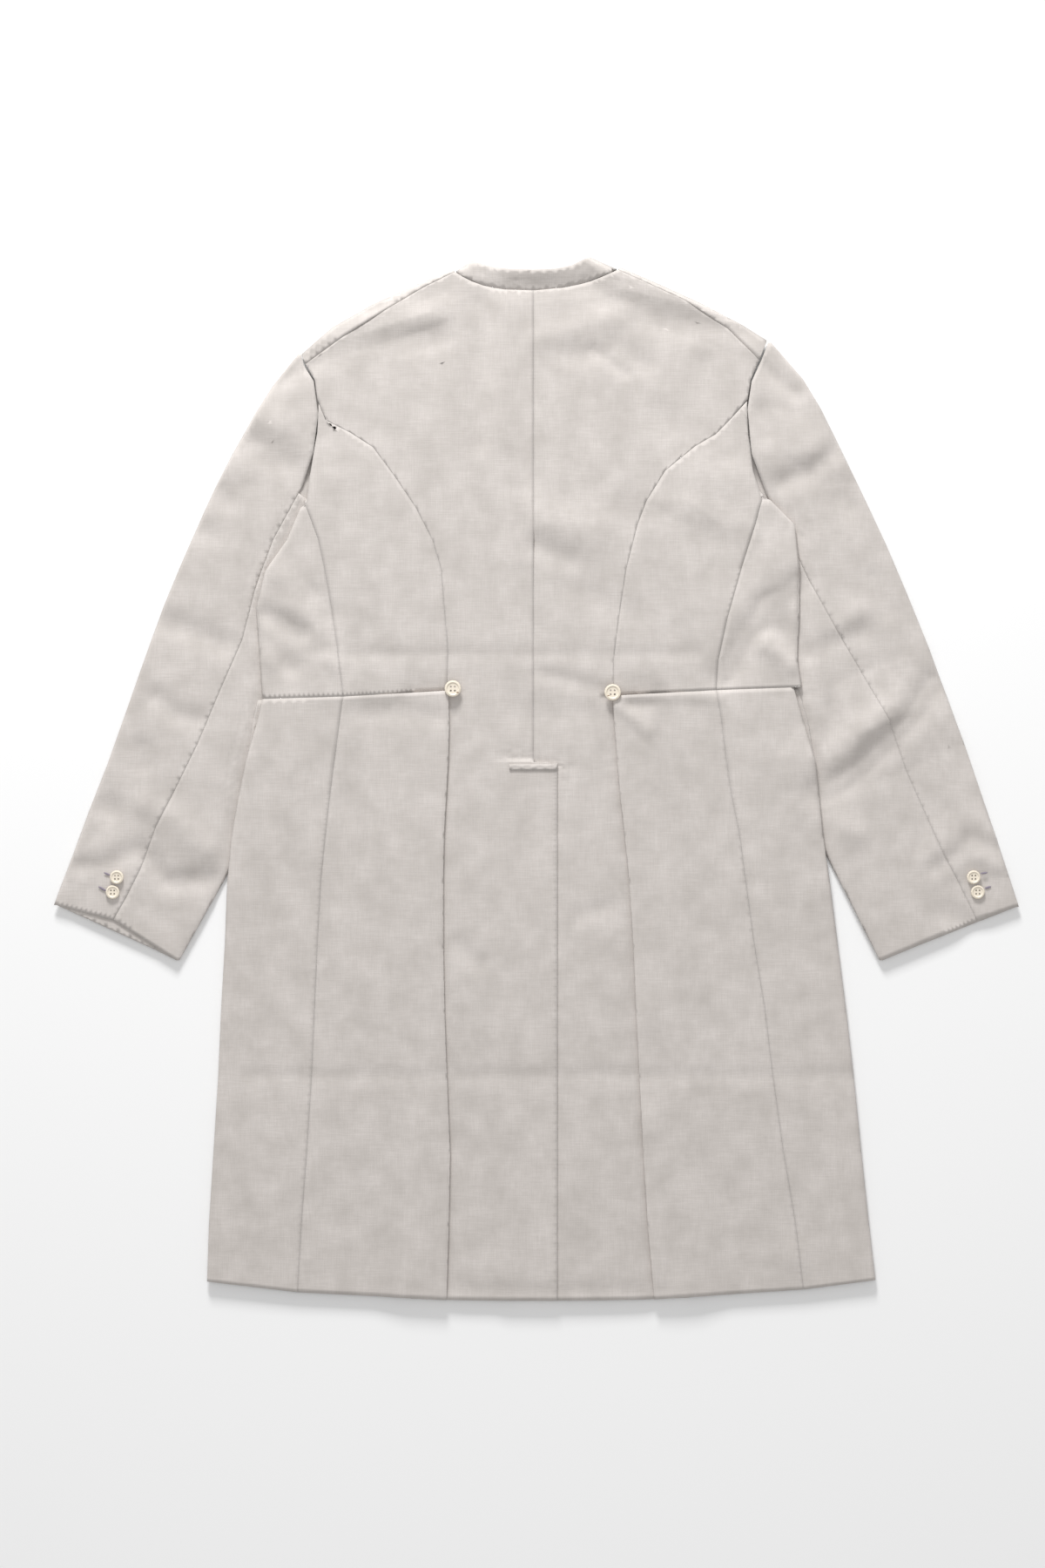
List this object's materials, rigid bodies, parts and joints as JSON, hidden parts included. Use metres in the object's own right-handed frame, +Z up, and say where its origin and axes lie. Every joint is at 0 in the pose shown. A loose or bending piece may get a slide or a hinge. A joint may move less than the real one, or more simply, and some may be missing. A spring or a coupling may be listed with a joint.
{
  "type": "frock coat",
  "caption": "Knee-length linen frock coat laid flat with its back up: band collar, shaped back seams, waist seam, side pleats, centre vent, two-piece sleeves.",
  "frame": {"origin": "on the surface that the coat lies on, under the centre of its box", "axes": "+Y up the centre back towards the collar, +X across towards the wearer's right sleeve, +Z up off the surface, out of the coat's back"},
  "size_m": [1.04, 1.124, 0.0101],
  "materials": {
    "linen": "plain woven natural linen, matte with slubs",
    "button": "satin cream with brown flecks"
  },
  "bodies": {
    "root": {"back_left": "linen", "back_right": "linen", "side_body_left": "linen", "side_body_right": "linen", "front_left": "linen", "front_right": "linen", "skirt_back_left": "linen", "skirt_back_right": "linen", "skirt_front_left": "linen", "skirt_front_right": "linen", "top_sleeve_left": "linen", "top_sleeve_right": "linen", "under_sleeve_left": "linen", "under_sleeve_right": "linen", "pocket_flap_left": "linen", "pocket_flap_right": "linen", "collar_band": "linen", "vent_welt": "linen", "hip_button_left": "button", "hip_button_right": "button", "cuff_button_left_upper": "button", "cuff_button_left_lower": "button", "cuff_button_right_upper": "button", "cuff_button_right_lower": "button"}
  },
  "joints": []
}
